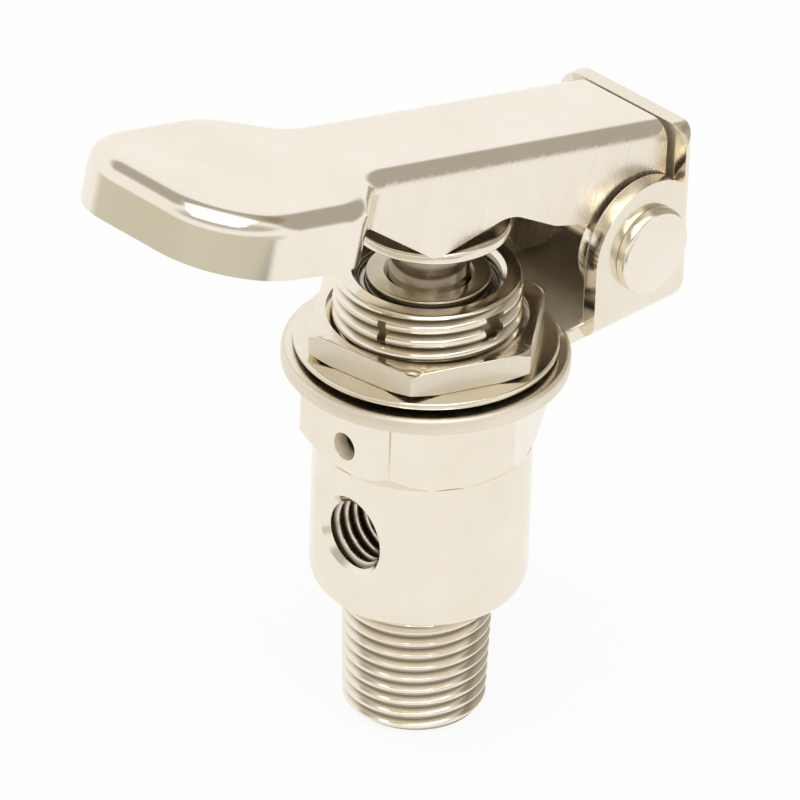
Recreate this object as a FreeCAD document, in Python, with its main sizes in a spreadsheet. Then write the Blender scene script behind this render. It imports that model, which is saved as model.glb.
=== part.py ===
import FreeCAD, Part
import math
import os
import Sketcher
from FreeCAD import Placement, Rotation, Vector

# Sizes in millimetres and degrees. Each one becomes a cell of the sheet below.
# Fits and gaps
running_gap = 0.04
seat_gap = 0.02
tiny = 0.01
free_gap = 0.1

# Body: pipe thread spigot, round barrel, hexagon and the boss for the clamp nut
spigot_length = 9.0
spigot_radius = 4.75
spigot_edge = 0.4
barrel_radius = 7.0
barrel_height = 10.95
barrel_edge = 1.2
hex_flats = 14.0
hex_height = 5.45
boss_radius = 6.0
boss_height = 6.65
boss_edge = 0.4
slot_width = 1.5
slot_depth = 0.9
slot_height = 1.75
slot_drop = 0.7

# Side port in its milled flat, and the small exhaust hole above it
port_level = 5.85
port_radius = 2.1
port_mouth = 0.58
port_mouth_depth = 0.5
flat_depth = 0.8
flat_top_radius = 4.3
exhaust_rise = 1.85
exhaust_radius = 0.85

# Stepped bore
inlet_bore = 3.4
shelf_drop = 1.15
stem_bore = 2.6
spring_drop = 2.2
spring_bore = 3.75
bush_bore = 4.4
rim_chamfer = 0.5
bush_sink = 0.1

# Poppet end: seat, poppet, its spring, and what holds them in
seat_bore = 1.9
seat_height = 1.45
seat_lip = 0.35
poppet_play = 0.5
poppet_floor = 1.2
facing_rim = 0.4
facing_height = 0.95
tail_radius = 1.15
tail_length = 2.2
retainer_hole = 1.7
retainer_height = 0.8
clip_width = 0.6
clip_groove = 0.32
clip_lift = 1.05
clip_reach = 0.75
poppet_wire = 0.25
poppet_coil = 2.1

# Plunger
stem_radius = 2.56
neck_radius = 1.6
tube_wall = 0.65
tube_radius = 1.4
idle_stroke = 0.5
piston_height = 1.65
groove_edge = 0.25
groove_radius = 1.62
collar_height = 0.96
collar_play = 0.2
disc_radius = 5.15
disc_gauge = 0.6
disc_edge = 0.12
disc_rise = 3.4
tip_radius = 1.6
tip_head = 0.45
return_wire = 0.35
return_coil = 3.2

# Guide bush and its rings
bush_height = 2.35
bush_shoulder = 1.2
bush_step = 0.43
wiper_height = 0.85
wiper_wall = 0.85
wiper_lift = 0.8
keeper_height = 0.4
keeper_opening = 1.6

# Bracket
bracket_gauge = 1.05
ring_radius = 9.15
neck_half = 4.8
ear_radius = 4.65
pin_x = 14.0
pin_rise = 5.1
web_front = 3.1
web_rise = 7.3
web_corner = 1.6
bend_radius = 1.5

# Washer and nut on the boss
washer_radius = 8.4
washer_gauge = 0.75
washer_lift = 0.25
nut_height = 1.8
nut_angle = 38.5

# Pivot pin and its clip
pin_radius = 1.5
head_radius = 2.9
head_height = 0.8
head_edge = 0.3
pin_groove = 1.1
pin_clip_gauge = 0.4
pin_clip_radius = 2.75
pin_clip_opening = 1.9
pin_end = 0.6

# Lever, measured about the pin with its top face level
rest_tilt = 13.5
lever_gauge = 1.0
lever_half = 4.25
lever_play = 0.3
lever_top = 7.9
lever_edge = 0.6
spoon_half = 7.7
spoon_tip = 41.3
spoon_neck = 25.6
spoon_flare = 0.37
spoon_corner = 6.2
flare_outside = 5.0
flare_inside = 3.0
skirt_height = 4.45
wall_front = 3.3
nose_x = 18.5
nose_radius = 1.3
nose_gap = 0.03
nose_rounding = 0.048
arch_x = 12.3
arch_rise = 2.2
waist_x = 7.8
waist_rise = 0.8
lug_radius = 3.3
lug_x = 0.55
lug_drop = 0.3
heel_rise = 0.69

doc = FreeCAD.newDocument("lever_valve")
sheet = doc.addObject("Spreadsheet::Sheet", "sizes")
nodes = []


class Size:
    """A number together with the sheet expression that it comes from."""

    def __init__(self, value, text):
        self.value = float(value)
        self.text = text

    def __add__(self, other):
        other = size(other)
        return Size(self.value + other.value, "(%s + %s)" % (self.text, other.text))

    def __sub__(self, other):
        other = size(other)
        return Size(self.value - other.value, "(%s - %s)" % (self.text, other.text))

    def __mul__(self, other):
        other = size(other)
        return Size(self.value * other.value, "(%s * %s)" % (self.text, other.text))

    def __truediv__(self, other):
        other = size(other)
        return Size(self.value / other.value, "(%s / %s)" % (self.text, other.text))

    def __neg__(self):
        return Size(-self.value, "(0 - %s)" % self.text)

    def __radd__(self, other):
        return size(other) + self

    def __rsub__(self, other):
        return size(other) - self

    def __rmul__(self, other):
        return size(other) * self


def size(value):
    if isinstance(value, Size):
        return value
    return Size(value, repr(float(value)))


def sine(angle):
    return Size(math.sin(math.radians(angle.value)), "sin(%s * 1 deg)" % angle.text)


def cosine(angle):
    return Size(math.cos(math.radians(angle.value)), "cos(%s * 1 deg)" % angle.text)


def cell(row, word, value):
    """Writes one named size into the sheet."""
    sheet.set("B%d" % row, word)
    sheet.set("A%d" % row, str(value))
    sheet.setAlias("A%d" % row, word)
    return Size(value, "sizes." + word)


numbers = [word for word, value in globals().items() if isinstance(value, float)]
for row, word in enumerate(numbers):
    globals()[word] = cell(row + 1, word, globals()[word])


def bind(thing, prop, value):
    value = size(value)
    if "." not in prop:
        setattr(thing, prop, value.value)
    thing.setExpression(prop, value.text)


def place(thing, x=0, y=0, z=0, axis=None, angle=0):
    turn = Rotation(axis, size(angle).value) if axis else Rotation()
    spot = Vector(size(x).value, size(y).value, size(z).value)
    thing.Placement = Placement(spot, turn)
    for letter, value in (("x", x), ("y", y), ("z", z)):
        if isinstance(value, Size):
            thing.setExpression("Placement.Base." + letter, value.text)
    if isinstance(angle, Size):
        thing.setExpression("Placement.Rotation.Angle", angle.text)
    return thing


def cylinder(name, radius, height, x=0, y=0, z=0, axis=None, angle=0):
    thing = doc.addObject("Part::Cylinder", name)
    bind(thing, "Radius", radius)
    bind(thing, "Height", height)
    return place(thing, x, y, z, axis, angle)


def cone(name, low, high, height, x=0, y=0, z=0, axis=None, angle=0):
    thing = doc.addObject("Part::Cone", name)
    bind(thing, "Radius1", low)
    bind(thing, "Radius2", high)
    bind(thing, "Height", height)
    return place(thing, x, y, z, axis, angle)


def box(name, length, width, height, x=0, y=0, z=0):
    thing = doc.addObject("Part::Box", name)
    bind(thing, "Length", length)
    bind(thing, "Width", width)
    bind(thing, "Height", height)
    return place(thing, x, y, z)


def hexagon(name, flats, height, z=0, angle=0):
    thing = doc.addObject("Part::Prism", name)
    thing.Polygon = 6
    bind(thing, "Circumradius", flats * 0.5773503)
    bind(thing, "Height", height)
    return place(thing, 0, 0, z, Vector(0, 0, 1), angle)


def fuse(name, *things):
    thing = doc.addObject("Part::MultiFuse", name)
    thing.Shapes = list(things)
    return thing


def cut(name, base, *tools):
    thing = doc.addObject("Part::Cut", name)
    thing.Base = base
    thing.Tool = tools[0] if len(tools) == 1 else fuse(name + "_tools", *tools)
    return thing


def common(name, one, two):
    thing = doc.addObject("Part::MultiCommon", name)
    thing.Shapes = [one, two]
    return thing


def body_plane(body, role):
    for thing in body.Origin.OriginFeatures:
        if thing.Role == role:
            return thing
    return None


def hold(sketch, kind, index, value, axis):
    """Fixes one corner's distance from one axis of its sketch to a sheet value."""
    if abs(value.value) < 1e-9:
        sketch.addConstraint(Sketcher.Constraint("PointOnObject", index, 1, axis))
    elif value.value > 0:
        rule = Sketcher.Constraint(kind, -1, 1, index, 1, value.value)
        number = sketch.addConstraint(rule)
        sketch.setExpression("Constraints[%d]" % number, value.text)
    else:
        rule = Sketcher.Constraint(kind, index, 1, -1, 1, -value.value)
        number = sketch.addConstraint(rule)
        sketch.setExpression("Constraints[%d]" % number, (-value).text)


def outline(body, name, role, points):
    """A closed straight sided outline, each corner held by sheet driven distances."""
    sketch = body.newObject("Sketcher::SketchObject", name)
    sketch.AttachmentSupport = [(body_plane(body, role), "")]
    sketch.MapMode = "FlatFace"
    corners = [(size(a), size(b)) for a, b in points]
    count = len(corners)
    for index in range(count):
        a = corners[index]
        b = corners[(index + 1) % count]
        start = Vector(a[0].value, a[1].value, 0)
        stop = Vector(b[0].value, b[1].value, 0)
        sketch.addGeometry(Part.LineSegment(start, stop), False)
    for index in range(count):
        after = (index + 1) % count
        sketch.addConstraint(Sketcher.Constraint("Coincident", index, 2, after, 1))
    for index, corner in enumerate(corners):
        hold(sketch, "DistanceX", index, corner[0], -2)
        hold(sketch, "DistanceY", index, corner[1], -1)
    return sketch


def turned(name, points):
    """A turned piece: half of its section, radius against height, spun about the upright axis."""
    body = doc.addObject("PartDesign::Body", name)
    sketch = outline(body, name + "_section", "XZ_Plane", points)
    spin = body.newObject("PartDesign::Revolution", name + "_spin")
    spin.Profile = sketch
    spin.ReferenceAxis = (sketch, ["V_Axis"])
    spin.Angle = 360
    return body


def band(name, inner, outer, height):
    """A plain square cornered ring standing on its own base."""
    return turned(name, [(inner, 0), (outer, 0), (outer, height), (inner, height)])


def block(name, role, points, length, middle=False):
    """A straight extrusion of an outline."""
    body = doc.addObject("PartDesign::Body", name)
    sketch = outline(body, name + "_outline", role, points)
    pad = body.newObject("PartDesign::Pad", name + "_pad")
    pad.Profile = sketch
    bind(pad, "Length", length)
    pad.Midplane = middle
    return body


def soften(body, name, radius, test, kind="PartDesign::Fillet"):
    """Rounds or chamfers the edges of the body's last feature that pass the test."""
    doc.recompute()
    last = body.Tip
    names = []
    for index, edge in enumerate(last.Shape.Edges):
        if test(edge):
            names.append("Edge%d" % (index + 1))
    feature = body.newObject(kind, name)
    feature.Base = (last, names)
    bind(feature, "Size" if kind.endswith("Chamfer") else "Radius", radius)
    return feature


def spring(name, radius, wire, height, turns, z):
    """A wire spring: a six sided wire swept in straight steps, sixteen to a turn."""
    radius, height = size(radius), size(height)
    count = int(turns * 16)
    corners = []
    for step in range(count + 1):
        around = math.radians(step * 22.5)
        spot = Vector(math.cos(around), math.sin(around), 0) * radius.value
        corners.append(spot + Vector(0, 0, height.value * step / count))
    path = doc.addObject("Part::Polygon", name + "_path")
    path.Nodes = corners
    section = doc.addObject("Part::RegularPolygon", name + "_wire")
    section.Polygon = 6
    bind(section, "Circumradius", wire)
    section.Placement = Placement(corners[0], Rotation(Vector(0, 0, 1), corners[1] - corners[0]))
    sweep = doc.addObject("Part::Sweep", name)
    sweep.Sections = [section]
    sweep.Spine = (path, [])
    sweep.Solid = True
    sweep.Frenet = True
    sweep.Transition = "Right corner"
    return place(sweep, 0, 0, z)


def node(thing, label):
    thing.Label = label
    nodes.append(thing)
    return thing


# Levels along the valve's axis that several pieces share
upright = Vector(0, 1, 0)
across = Vector(1, 0, 0)
base_level = barrel_height + hex_height
boss_level = base_level + boss_height
exhaust_level = barrel_height + exhaust_rise
shelf_level = port_level - port_radius - shelf_drop
spring_floor = base_level - spring_drop
bush_top = boss_level - bush_sink
bush_floor = bush_top - bush_height
groove_level = clip_lift - spigot_length
flat_x = barrel_radius - flat_depth

# Valve body
barrel = turned("barrel", [
    (0, 0),
    (barrel_radius - barrel_edge * 0.7, 0),
    (barrel_radius, barrel_edge),
    (barrel_radius, barrel_height + tiny),
    (0, barrel_height + tiny),
])
spigot = turned("spigot", [
    (0, -spigot_length),
    (spigot_radius - spigot_edge, -spigot_length),
    (spigot_radius, spigot_edge - spigot_length),
    (spigot_radius, tiny),
    (0, tiny),
])
hex_prism = hexagon("hex_prism", hex_flats, hex_height, z=barrel_height, angle=30)
hex_corner = hex_flats * 0.5773503
hex_mill = turned("hex_mill", [
    (0, barrel_height - tiny),
    (hex_flats / 2, barrel_height - tiny),
    (hex_corner + free_gap, barrel_height + barrel_edge),
    (hex_corner + free_gap, base_level + tiny),
    (0, base_level + tiny),
])
hex_band = common("hex_band", hex_prism, hex_mill)
boss = turned("boss", [
    (0, base_level - tiny),
    (boss_radius, base_level - tiny),
    (boss_radius, boss_level - boss_edge),
    (boss_radius - boss_edge, boss_level),
    (0, boss_level),
])
solid_body = fuse("solid_body", barrel, spigot, hex_band, boss)
bore = turned("bore", [
    (0, -spigot_length - 0.5),
    (inlet_bore, -spigot_length - 0.5),
    (inlet_bore, shelf_level),
    (stem_bore, shelf_level),
    (stem_bore, spring_floor),
    (spring_bore, spring_floor),
    (spring_bore, bush_floor),
    (bush_bore, bush_floor),
    (bush_bore, boss_level - rim_chamfer),
    (bush_bore + rim_chamfer, boss_level),
    (bush_bore + rim_chamfer, boss_level + 0.5),
    (0, boss_level + 0.5),
])
clip_seat = cylinder("clip_seat", inlet_bore + clip_groove, clip_width, z=groove_level)
flat_low = box("flat_low", 2, barrel_radius * 2, port_level, -flat_x - 2, -barrel_radius, -tiny)
flat_top = cylinder("flat_top", flat_top_radius, 2, -flat_x - 2, 0, port_level, upright, 90)
port_hole = cylinder("port_hole", port_radius, flat_x, -flat_x, 0, port_level, upright, 90)
port_flare = cone(
    "port_flare", port_radius + port_mouth, port_radius, port_mouth_depth,
    -flat_x, 0, port_level, upright, 90,
)
exhaust_hole = cylinder(
    "exhaust_hole", exhaust_radius, barrel_radius + 0.5,
    -barrel_radius - 0.5, 0, exhaust_level, upright, 90,
)
slot_level = boss_level - slot_drop - slot_height
slot_near = box(
    "slot_near", slot_width, slot_depth + 0.5, slot_height,
    slot_width * -0.5, -boss_radius - 0.5, slot_level,
)
slot_far = box(
    "slot_far", slot_width, slot_depth + 0.5, slot_height,
    slot_width * -0.5, boss_radius - slot_depth, slot_level,
)
valve_body = node(cut(
    "valve_body_shape", solid_body, bore, clip_seat, flat_low, flat_top,
    port_hole, port_flare, exhaust_hole, slot_near, slot_far,
), "valve_body")

# Seat ring pushed up against the shelf, its lip facing the poppet
seat_face = shelf_level - seat_height
seat_ring = node(place(turned("seat_ring_shape", [
    (seat_bore, 0),
    (seat_bore + seat_lip, 0),
    (seat_bore + seat_lip * 2, seat_lip),
    (inlet_bore - seat_gap, seat_lip),
    (inlet_bore - seat_gap, seat_height),
    (seat_bore, seat_height),
]), z=seat_face), "seat_ring")

# Poppet with its rubber facing, the spring under it, and the ring and clip that hold the spring
poppet_radius = inlet_bore - poppet_play
facing_radius = poppet_radius - facing_rim
poppet_base = seat_face - facing_height - poppet_floor
poppet = node(place(turned("poppet_shape", [
    (0, -tail_length),
    (tail_radius, -tail_length),
    (tail_radius, 0),
    (poppet_radius, 0),
    (poppet_radius, poppet_floor + facing_height - facing_rim),
    (facing_radius, poppet_floor + facing_height - facing_rim),
    (facing_radius, poppet_floor),
    (0, poppet_floor),
]), z=poppet_base), "poppet")
poppet_facing = node(cylinder(
    "poppet_facing_shape", facing_radius - seat_gap, facing_height, z=poppet_base + poppet_floor,
), "poppet_facing")
retainer_base = groove_level + clip_width
spring_retainer = node(place(
    band("spring_retainer_shape", retainer_hole, inlet_bore - seat_gap, retainer_height), z=retainer_base,
), "spring_retainer")
clip_ring = band(
    "clip_ring", inlet_bore - clip_reach, inlet_bore + clip_groove - seat_gap, clip_width - seat_gap * 2,
)
clip_slot = box("clip_slot", inlet_bore + 1, 2.2, 2, 2, -1.1, -0.5)
retainer_clip = node(place(
    cut("retainer_clip_shape", clip_ring, clip_slot), z=groove_level + seat_gap,
), "retainer_clip")
poppet_spring_base = retainer_base + retainer_height
poppet_spring = node(spring(
    "poppet_spring_shape", poppet_coil, poppet_wire,
    poppet_base - poppet_spring_base - poppet_wire * 2 - seat_gap * 2, 4,
    poppet_spring_base + poppet_wire + seat_gap,
), "poppet_spring")

# Plunger stem, hollow below so that the outlet can bleed to the exhaust hole when it is up
tube_end = seat_face + idle_stroke
tube_bore = tube_radius - tube_wall
piston_high = exhaust_level - exhaust_radius
piston_low = piston_high - piston_height
groove_low = piston_low + groove_edge
groove_high = piston_high - groove_edge
collar_high = bush_floor - running_gap
collar_low = collar_high - collar_height
collar_radius = spring_bore - collar_play
disc_base = boss_level + disc_rise
disc_top = disc_base + disc_gauge
stem_full = turned("stem_full", [
    (tube_bore, 0),
    (tube_radius, 0),
    (tube_radius, piston_low - tube_end),
    (stem_radius, piston_low - tube_end),
    (stem_radius, groove_low - tube_end),
    (groove_radius, groove_low - tube_end),
    (groove_radius, groove_high - tube_end),
    (stem_radius, groove_high - tube_end),
    (stem_radius, piston_high - tube_end),
    (neck_radius, piston_high - tube_end),
    (neck_radius, collar_low - tube_end),
    (collar_radius, collar_low - tube_end),
    (collar_radius, collar_high - tube_end),
    (stem_radius, collar_high - tube_end),
    (stem_radius, disc_base - tube_end),
    (tip_radius, disc_base - tube_end),
    (tip_radius, disc_top - tube_end),
    (tip_radius + 0.35, disc_top - tube_end),
    (tip_radius - 0.2, disc_top + tip_head - tube_end),
    (0, disc_top + tip_head - tube_end),
    (0, exhaust_level + exhaust_radius - tube_end),
    (tube_bore, exhaust_level + exhaust_radius - tube_end),
])
cross_hole = box(
    "cross_hole", neck_radius * 2 + 1, 1, 1,
    0 - neck_radius - 0.5, -0.5, exhaust_level - tube_end - 0.5,
)
plunger_stem = node(place(cut("plunger_stem_shape", stem_full, cross_hole), z=tube_end), "plunger_stem")
plunger_disc = node(place(turned("plunger_disc_shape", [
    (tip_radius + seat_gap, 0),
    (disc_radius, 0),
    (disc_radius, disc_gauge - disc_edge),
    (disc_radius - disc_edge, disc_gauge),
    (tip_radius + seat_gap, disc_gauge),
]), z=disc_base), "plunger_disc")
return_spring = node(spring(
    "return_spring_shape", return_coil, return_wire,
    collar_low - spring_floor - return_wire * 2 - seat_gap * 2, 3.5,
    spring_floor + return_wire + seat_gap,
), "return_spring")
seal_inner = groove_radius + seat_gap
seal_outer = stem_bore - seat_gap
seal_height = seal_outer - seal_inner
lower_seal = node(place(
    band("lower_seal_shape", seal_inner, seal_outer, seal_height),
    z=(groove_low + groove_high - seal_height) / 2,
), "lower_seal")

# Guide bush in the boss with its wiper seal and the ring that keeps it down
bush_hole = stem_radius + running_gap
bush_outer = bush_bore - bush_step
wiper_outer = stem_radius + wiper_wall
guide_bush = node(place(turned("guide_bush_shape", [
    (bush_hole, 0),
    (bush_bore - seat_gap, 0),
    (bush_bore - seat_gap, bush_shoulder),
    (bush_outer, bush_shoulder),
    (bush_outer, bush_height),
    (bush_hole + groove_edge, bush_height),
    (bush_hole, bush_height - groove_edge),
    (bush_hole, wiper_lift + wiper_height + seat_gap),
    (wiper_outer + seat_gap, wiper_lift + wiper_height + seat_gap),
    (wiper_outer + seat_gap, wiper_lift - seat_gap),
    (bush_hole, wiper_lift - seat_gap),
]), z=bush_floor), "guide_bush")
wiper_seal = node(place(
    band("wiper_seal_shape", stem_radius + tiny, wiper_outer, wiper_height),
    z=bush_floor + wiper_lift,
), "wiper_seal")
keeper_ring = band("keeper_ring", bush_outer + seat_gap, bush_bore - tiny, keeper_height)
keeper_slot = box(
    "keeper_slot", bush_bore, keeper_opening, keeper_height + 2, 1, keeper_opening * -0.5, -1,
)
bush_keeper = node(place(
    cut("bush_keeper_shape", keeper_ring, keeper_slot), z=bush_floor + bush_shoulder,
), "bush_keeper")

# Bracket: ring on the hexagon, neck, floor, two ears and the rear web, all one pressed sheet
ear_inner = lever_half + lever_play
ear_outer = ear_inner + bracket_gauge
web_inner = pin_x + web_front
web_back = web_inner + bracket_gauge
ear_front = pin_x - ear_radius
tray_height = pin_rise + web_rise
base_ring = band("base_ring", boss_radius + free_gap, ring_radius, bracket_gauge)
neck = box(
    "neck", ear_front - boss_radius, neck_half * 2, bracket_gauge,
    boss_radius + free_gap * 2, -neck_half, 0,
)
tray = block("tray", "XY_Plane", [
    (ear_front, -ear_outer),
    (web_back, -ear_outer),
    (web_back, ear_outer),
    (ear_front, ear_outer),
], tray_height)


def long_edges_at(height, half, rear):
    """Picks the level edges at this height along both sides and, where wanted, the rear."""
    def test(edge):
        middle = edge.BoundBox.Center
        level = edge.BoundBox.ZLength < 1e-6 and abs(middle.z - size(height).value) < 1e-6
        side = abs(abs(middle.y) - half.value) < 1e-4
        back = rear and abs(middle.x - rear.value) < 1e-4 and edge.BoundBox.XLength < 1e-4
        return level and (side or back)
    return test


def crown_edges(edge):
    """Picks the upright corner edges at the web's top: short edges along X."""
    middle = edge.BoundBox.Center
    top = abs(edge.BoundBox.ZMin - tray_height.value) < 1e-6
    return top and abs(abs(middle.y) - ear_outer.value) < 1e-4


soften(tray, "tray_bend", bend_radius, long_edges_at(0, ear_outer, web_back))
soften(tray, "tray_crown", web_corner, crown_edges)
hollow = block("hollow", "XY_Plane", [
    (ear_front - 2, -ear_inner),
    (web_inner, -ear_inner),
    (web_inner, ear_inner),
    (ear_front - 2, ear_inner),
], tray_height)
soften(hollow, "hollow_bend", bend_radius - bracket_gauge, long_edges_at(0, ear_inner, web_inner))
place(hollow, z=bracket_gauge)
ear_block = box(
    "ear_block", ear_radius * 2, ear_outer * 2 + 2, tray_height,
    web_inner - ear_radius * 2, -ear_outer - 1, pin_rise,
)
ear_lobe = cylinder(
    "ear_lobe", ear_radius, ear_outer * 2 + 2.2, pin_x, ear_outer + 1.1, pin_rise, across, 90,
)
ear_trim = cut("ear_trim", ear_block, ear_lobe)
pin_hole = cylinder(
    "pin_hole", pin_radius + running_gap, ear_outer * 2 + 2, pin_x, ear_outer + 1, pin_rise, across, 90,
)
ring_hole = cylinder("ring_hole", boss_radius + free_gap, 4, z=-1)
pressed = cut("pressed", tray, hollow, ear_trim, pin_hole)
ring_and_neck = fuse("ring_and_neck", base_ring, neck)
bracket_solid = fuse("bracket_solid", ring_and_neck, pressed)
bracket = node(place(cut("bracket_shape", bracket_solid, ring_hole), z=base_level), "bracket")

# Dished washer and the clamp nut on the boss thread
washer_level = base_level + bracket_gauge
lock_washer = node(place(turned("lock_washer_shape", [
    (boss_radius + free_gap, 0),
    (boss_radius + free_gap * 7, 0),
    (washer_radius, washer_lift),
    (washer_radius, washer_gauge),
    (boss_radius + free_gap, washer_gauge),
]), z=washer_level), "lock_washer")
nut_prism = hexagon("nut_prism", hex_flats, nut_height, angle=nut_angle)
nut_hole = cylinder("nut_hole", boss_radius + seat_gap, nut_height + 2, z=-1)
clamp_nut = node(place(
    cut("clamp_nut_shape", nut_prism, nut_hole), z=washer_level + washer_gauge,
), "clamp_nut")

# Pivot pin with its round head on the near side and the snap clip on the far side
pin_z = base_level + pin_rise
pin_reach = ear_outer * 2 + free_gap
clip_room = pin_clip_gauge + running_gap
pivot_pin = node(place(turned("pivot_pin_shape", [
    (0, -head_height),
    (head_radius - head_edge, -head_height),
    (head_radius, head_edge - head_height),
    (head_radius, 0),
    (pin_radius, 0),
    (pin_radius, pin_reach),
    (pin_groove, pin_reach),
    (pin_groove, pin_reach + clip_room),
    (pin_radius, pin_reach + clip_room),
    (pin_radius, pin_reach + clip_room + pin_end),
    (0, pin_reach + clip_room + pin_end),
]), pin_x, -ear_outer, pin_z, -across, 90), "pivot_pin")
pin_clip_ring = band("pin_clip_ring", pin_groove + seat_gap, pin_clip_radius, pin_clip_gauge)
pin_clip_slot = box(
    "pin_clip_slot", pin_clip_radius + 1, pin_clip_opening, 2, 0, pin_clip_opening * -0.5, -1,
)
pin_clip = node(place(
    cut("pin_clip_shape", pin_clip_ring, pin_clip_slot),
    pin_x, ear_outer + free_gap + seat_gap, pin_z, -across, 90,
), "pin_clip")

# Lever, drawn about the pin axis with its top face level, then tilted to its rest angle
nose_level = disc_top + nose_gap - nose_rounding - pin_z
nose_z = (nose_level - nose_x * sine(rest_tilt)) / cosine(rest_tilt)
arch_z = nose_z + arch_rise
waist_z = nose_z + waist_rise
skirt_low = lever_top - skirt_height
lever_low = -lug_radius - lug_drop - 1
lever_rear = web_front + 0.1
flare_run = (1 - spoon_flare * spoon_flare) / (2 * spoon_flare)


def rear_line(height):
    """How far back the lever reaches at this height so that at rest it stops just off the web."""
    reach = web_front - free_gap
    return (reach - size(height) * sine(rest_tilt)) / cosine(rest_tilt)


def plan(inset, rear):
    """The lever seen from above: straight channel, flare, and the spoon's square start."""
    half = lever_half - inset
    wide = spoon_half - inset
    start = spoon_neck + inset * spoon_flare
    end = start + (wide - half) * flare_run
    tip = spoon_tip - inset
    return [
        (rear, -half), (rear, half), (-start, half), (-end, wide),
        (-tip, wide), (-tip, -wide), (-end, -wide), (-start, -half),
    ]


def upright_edges(corner):
    """Picks the two upright edges at this corner of the plan and its mirror."""
    def test(edge):
        middle = edge.BoundBox.Center
        tall = edge.BoundBox.ZLength > 5
        here = abs(middle.x - corner[0].value) < 1e-3
        return tall and here and abs(abs(middle.y) - corner[1].value) < 1e-3
    return test


def plan_block(name, inset, rear, height):
    corners = plan(inset, rear)
    body = block(name, "XY_Plane", corners, height)
    soften(body, name + "_tip", spoon_corner - inset, upright_edges(corners[4]))
    soften(body, name + "_wide", flare_outside - inset, upright_edges(corners[3]))
    soften(body, name + "_waist", flare_inside + inset, upright_edges(corners[2]))
    return body


def top_rim(edge):
    """Picks the edges round the lever's top face, but for the rear one."""
    flat = edge.BoundBox.ZLength < 1e-6
    high = abs(edge.BoundBox.ZMax - (lever_top - lever_low).value) < 1e-6
    return flat and high and edge.BoundBox.XMin < lever_rear.value - 0.1


def cross_edge(x, z):
    """Picks the edge that runs across the side profile's block at this corner."""
    def test(edge):
        middle = edge.BoundBox.Center
        long = edge.BoundBox.YLength > 5
        return long and abs(middle.x - x.value) < 1e-3 and abs(middle.z - z.value) < 1e-3
    return test


outer = plan_block("lever_outer", size(0), lever_rear, lever_top - lever_low)
soften(outer, "lever_outer_bend", lever_edge, top_rim, "PartDesign::Chamfer")
place(outer, z=lever_low)
inner = plan_block("lever_inner", lever_gauge, lever_rear + 3, lever_top - lever_low - lever_gauge + 1)
place(inner, z=lever_low - 1)
shell = cut("lever_shell", outer, inner)
side = block("lever_side", "XZ_Plane", [
    (rear_line(lever_top + 0.5), lever_top + 0.5),
    (-spoon_tip - 1, lever_top + 0.5),
    (-spoon_tip - 1, skirt_low),
    (-spoon_neck - 1.6, skirt_low),
    (-spoon_neck - 0.3, lever_top - wall_front),
    (-nose_x, nose_z),
    (-arch_x, arch_z),
    (-waist_x, waist_z),
    (0.4 - lug_x - lug_radius, waist_z - 0.4),
    (-lug_x, -lug_drop),
    (rear_line(heel_rise), -lug_drop),
    (rear_line(heel_rise), heel_rise),
], spoon_half * 2 + 2, middle=True)
soften(side, "nose_round", nose_radius, cross_edge(-nose_x, nose_z))
soften(side, "arch_round", flare_inside, cross_edge(-arch_x, arch_z))
soften(side, "waist_round", flare_inside / 1.5, cross_edge(-waist_x, waist_z))
lug = cylinder("lever_lug", lug_radius, spoon_half * 2, -lug_x, spoon_half, -lug_drop, across, 90)
side_and_lug = fuse("lever_side_and_lug", side, lug)
lever_trim = common("lever_trim", shell, side_and_lug)
lever_hole = cylinder(
    "lever_hole", pin_radius + running_gap, spoon_half * 2, 0, spoon_half, 0, across, 90,
)
lever = node(place(
    cut("lever_shape", lever_trim, lever_hole), pin_x, 0, pin_z, upright, rest_tilt,
), "lever")

# Build it all, stop at the first fault, and write one STEP file for each piece
doc.recompute()
os.makedirs("parts", exist_ok=True)
for thing in doc.Objects:
    bad = [state for state in thing.State if state in ("Invalid", "Error")]
    if bad:
        raise RuntimeError("%s did not build: %s" % (thing.Name, bad))
for thing in nodes:
    shape = thing.Shape
    if shape.isNull() or not shape.isValid() or not shape.Solids:
        raise RuntimeError("%s has no sound solid" % thing.Label)
    shape.exportStep("parts/%s.step" % thing.Label)
    print("%-16s %d solid, %.1f cubic mm" % (thing.Label, len(shape.Solids), shape.Volume))
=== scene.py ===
import math

import bpy
from mathutils import Matrix, Vector


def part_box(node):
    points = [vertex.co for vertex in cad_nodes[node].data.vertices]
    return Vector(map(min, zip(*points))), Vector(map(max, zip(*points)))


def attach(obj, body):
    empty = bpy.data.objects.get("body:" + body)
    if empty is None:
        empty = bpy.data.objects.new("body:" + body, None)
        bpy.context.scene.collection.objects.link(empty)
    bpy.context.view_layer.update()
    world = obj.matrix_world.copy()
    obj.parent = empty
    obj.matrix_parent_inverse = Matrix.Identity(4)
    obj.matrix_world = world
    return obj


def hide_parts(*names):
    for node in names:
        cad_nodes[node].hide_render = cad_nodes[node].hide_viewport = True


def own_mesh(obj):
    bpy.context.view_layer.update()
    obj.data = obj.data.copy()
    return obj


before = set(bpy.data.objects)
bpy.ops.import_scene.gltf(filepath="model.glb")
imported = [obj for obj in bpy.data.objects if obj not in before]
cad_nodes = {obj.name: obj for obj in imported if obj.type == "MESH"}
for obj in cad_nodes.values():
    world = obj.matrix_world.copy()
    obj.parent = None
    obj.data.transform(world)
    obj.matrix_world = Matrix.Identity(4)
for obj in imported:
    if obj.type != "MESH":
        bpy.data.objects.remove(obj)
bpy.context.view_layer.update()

# Every piece is modelled in millimetres and then brought down to metres.
MM = 0.001
MICRON = 0.001 * MM

# Points of one piece that are nearer than this are merged, in millimetres.
DOUBLES = 1e-4
# The bevel profile that gives a plain arc.
ARC = 0.5

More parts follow.
